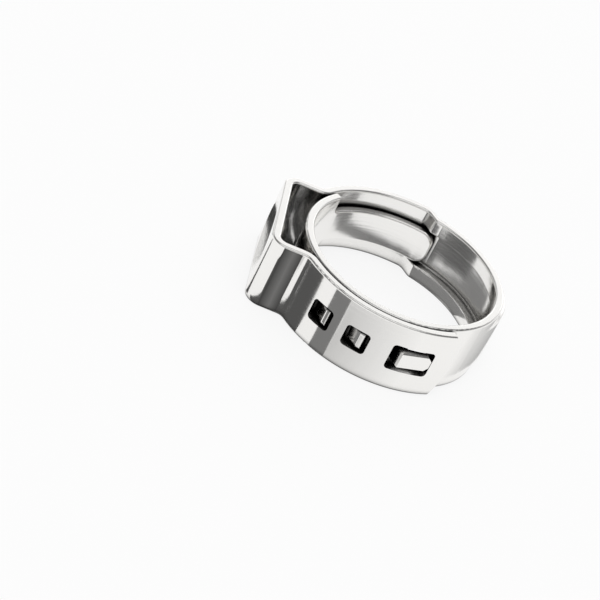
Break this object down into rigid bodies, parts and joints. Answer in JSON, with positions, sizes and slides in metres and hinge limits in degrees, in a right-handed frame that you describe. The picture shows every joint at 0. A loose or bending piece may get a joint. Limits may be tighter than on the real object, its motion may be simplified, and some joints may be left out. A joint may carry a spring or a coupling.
{
  "type": "ear hose clamp",
  "caption": "Stepless ear clamp rolled from one steel strip, with an ear to pinch, a hook in a window and a tongue that keeps the bore smooth.",
  "frame": {"origin": "the bore's axis, at the lower edge of the strip", "axes": "+Z along the bore's axis, +X through the middle of the ear"},
  "size_m": [0.0224, 0.0212, 0.0067],
  "materials": {
    "steel": "bright rolled strip with sheared edges"
  },
  "bodies": {
    "root": {"clamp_band": "steel"}
  },
  "joints": []
}
